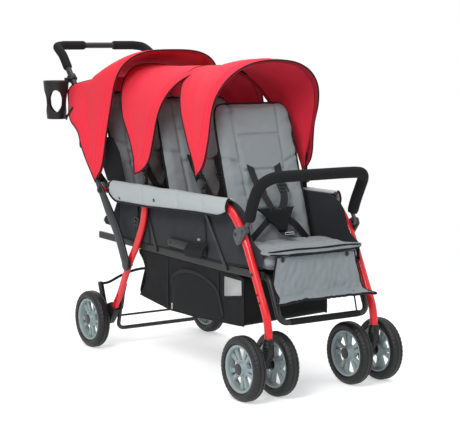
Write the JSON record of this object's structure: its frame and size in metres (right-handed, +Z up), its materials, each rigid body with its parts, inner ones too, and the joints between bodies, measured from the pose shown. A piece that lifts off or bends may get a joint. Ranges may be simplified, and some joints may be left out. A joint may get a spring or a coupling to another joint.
{
  "type": "tandem stroller",
  "caption": "Folding tandem stroller with seats in line, reclining backs, tilting canopies, swivelling front wheels, foot brake, basket and cup holder.",
  "frame": {"origin": "on the floor under the middle of the bounding box", "axes": "+Z up, -Y to the front, +X to the rider's left"},
  "size_m": [0.5815, 1.4534, 1.0774],
  "materials": {
    "red_paint": "glossy red powder coat",
    "dark_steel": "dark satin coated steel tube",
    "bright_steel": "plain bright steel rod",
    "black_plastic": "satin black moulded plastic",
    "grey_plastic": "blue-grey moulded plastic",
    "tyre": "black solid tyre rubber",
    "foam": "black foam sleeve",
    "grey_cloth": "mid-grey woven seat cloth, padded",
    "pale_cloth": "pale grey padded cloth",
    "charcoal_cloth": "charcoal woven cloth",
    "black_cloth": "black woven cloth",
    "coral_cloth": "coral red canopy cloth with black hems",
    "webbing": "black woven webbing with black plastic buckle"
  },
  "bodies": {
    "chassis": {"front_leg_left": "red_paint", "front_leg_right": "red_paint", "seat_rail_left": "dark_steel", "seat_rail_right": "dark_steel", "cross_tube_front": "dark_steel", "cross_tube_middle": "dark_steel", "cross_tube_rear": "dark_steel", "seat_cushion_front": "grey_cloth", "seat_cushion_middle": "grey_cloth", "seat_cushion_rear": "grey_cloth", "side_panel_left": "charcoal_cloth", "side_panel_right": "charcoal_cloth", "side_pad_left": "pale_cloth", "side_pad_right": "pale_cloth", "bar_bracket_left": "black_plastic", "bar_bracket_right": "black_plastic", "footrest_frame": "dark_steel", "calf_flap": "grey_cloth", "basket": "black_cloth", "caster_collar_left": "black_plastic", "caster_collar_right": "black_plastic", "canopy_front": "coral_cloth", "canopy_middle": "coral_cloth", "canopy_rear": "coral_cloth"},
    "handle": {"handle_bar": "dark_steel", "grip_left": "foam", "grip_right": "foam", "cup_holder": "black_plastic"},
    "rear_frame": {"rear_leg_left": "red_paint", "rear_leg_right": "red_paint", "axle_housing_left": "black_plastic", "axle_housing_right": "black_plastic", "rear_axle": "bright_steel", "rear_u_bar": "dark_steel"},
    "foot_brake": {"brake_bar": "black_plastic"},
    "armrest_bar": {"belly_bar": "foam"},
    "rear_wheel_left": {"rim_rear_left": "grey_plastic", "tyre_rear_left": "tyre"},
    "caster_left": {"caster_fork_left": "black_plastic"},
    "front_wheel_left_outer": {"rim_front_left_outer": "grey_plastic", "tyre_front_left_outer": "tyre"},
    "front_wheel_left_inner": {"rim_front_left_inner": "grey_plastic", "tyre_front_left_inner": "tyre"},
    "rear_wheel_right": {"rim_rear_right": "grey_plastic", "tyre_rear_right": "tyre"},
    "caster_right": {"caster_fork_right": "black_plastic"},
    "front_wheel_right_outer": {"rim_front_right_outer": "grey_plastic", "tyre_front_right_outer": "tyre"},
    "front_wheel_right_inner": {"rim_front_right_inner": "grey_plastic", "tyre_front_right_inner": "tyre"},
    "bow_front": {"canopy_bow_front": "black_plastic"},
    "backrest_front": {"seat_back_front": "grey_cloth", "harness_front": "webbing"},
    "bow_middle": {"canopy_bow_middle": "black_plastic"},
    "backrest_middle": {"seat_back_middle": "grey_cloth", "harness_middle": "webbing"},
    "bow_rear": {"canopy_bow_rear": "black_plastic"},
    "backrest_rear": {"seat_back_rear": "grey_cloth", "harness_rear": "webbing"}
  },
  "joints": [
    {"name": "handle_fold", "type": "hinge", "parent": "chassis", "child": "handle", "pos_m": [0, 0.312, 0.56], "axis": [1, 0, 0], "range_deg": [0, 40], "deforming": ["canopy_rear"]},
    {"name": "rear_frame_fold", "type": "hinge", "parent": "chassis", "child": "rear_frame", "pos_m": [0, 0.0435, 0.546], "axis": [1, 0, 0], "range_deg": [-48, 0]},
    {"name": "brake_press", "type": "hinge", "parent": "rear_frame", "child": "foot_brake", "pos_m": [0, 0.343, 0.1], "axis": [1, 0, 0], "range_deg": [-15, 0]},
    {"name": "belly_bar_swing", "type": "hinge", "parent": "chassis", "child": "armrest_bar", "pos_m": [0, -0.554, 0.505], "axis": [1, 0, 0], "range_deg": [0, 35]},
    {"name": "rear_wheel_spin_left", "type": "hinge", "parent": "rear_frame", "child": "rear_wheel_left", "pos_m": [0.245, 0.343, 0.1], "axis": [1, 0, 0], "continuous": true},
    {"name": "caster_swivel_left", "type": "hinge", "parent": "chassis", "child": "caster_left", "pos_m": [0.204, -0.6655, 0.1], "axis": [0, 0, 1], "continuous": true},
    {"name": "front_wheel_spin_left_outer", "type": "hinge", "parent": "caster_left", "child": "front_wheel_left_outer", "pos_m": [0.265, -0.6225, 0.1], "axis": [1, 0, 0], "continuous": true},
    {"name": "front_wheel_spin_left_inner", "type": "hinge", "parent": "caster_left", "child": "front_wheel_left_inner", "pos_m": [0.143, -0.6225, 0.1], "axis": [1, 0, 0], "continuous": true},
    {"name": "rear_wheel_spin_right", "type": "hinge", "parent": "rear_frame", "child": "rear_wheel_right", "pos_m": [-0.245, 0.343, 0.1], "axis": [1, 0, 0], "continuous": true},
    {"name": "caster_swivel_right", "type": "hinge", "parent": "chassis", "child": "caster_right", "pos_m": [-0.204, -0.6655, 0.1], "axis": [0, 0, 1], "continuous": true},
    {"name": "front_wheel_spin_right_outer", "type": "hinge", "parent": "caster_right", "child": "front_wheel_right_outer", "pos_m": [-0.265, -0.6225, 0.1], "axis": [1, 0, 0], "continuous": true},
    {"name": "front_wheel_spin_right_inner", "type": "hinge", "parent": "caster_right", "child": "front_wheel_right_inner", "pos_m": [-0.143, -0.6225, 0.1], "axis": [1, 0, 0], "continuous": true},
    {"name": "canopy_tilt_front", "type": "hinge", "parent": "chassis", "child": "bow_front", "pos_m": [0, -0.3065, 0.628], "axis": [1, 0, 0], "range_deg": [-30, 0], "deforming": ["canopy_front"]},
    {"name": "seat_recline_front", "type": "hinge", "parent": "chassis", "child": "backrest_front", "pos_m": [0, -0.4276, 0.372], "axis": [1, 0, 0], "range_deg": [-20, 0], "deforming": ["harness_front"]},
    {"name": "canopy_tilt_middle", "type": "hinge", "parent": "chassis", "child": "bow_middle", "pos_m": [0, 0.0435, 0.617], "axis": [1, 0, 0], "range_deg": [-30, 0], "deforming": ["canopy_middle"]},
    {"name": "seat_recline_middle", "type": "hinge", "parent": "chassis", "child": "backrest_middle", "pos_m": [0, -0.0776, 0.3804], "axis": [1, 0, 0], "range_deg": [-20, 0], "deforming": ["harness_middle"]},
    {"name": "canopy_tilt_rear", "type": "hinge", "parent": "chassis", "child": "bow_rear", "pos_m": [0, 0.3455, 0.6], "axis": [1, 0, 0], "range_deg": [-30, 0], "deforming": ["canopy_rear"]},
    {"name": "seat_recline_rear", "type": "hinge", "parent": "chassis", "child": "backrest_rear", "pos_m": [0, 0.2724, 0.38915], "axis": [1, 0, 0], "range_deg": [-20, 0], "deforming": ["harness_rear"]}
  ],
  "couplings": [
    {"joint": "rear_frame_fold", "follows": "handle_fold", "ratio": -1.2}
  ]
}
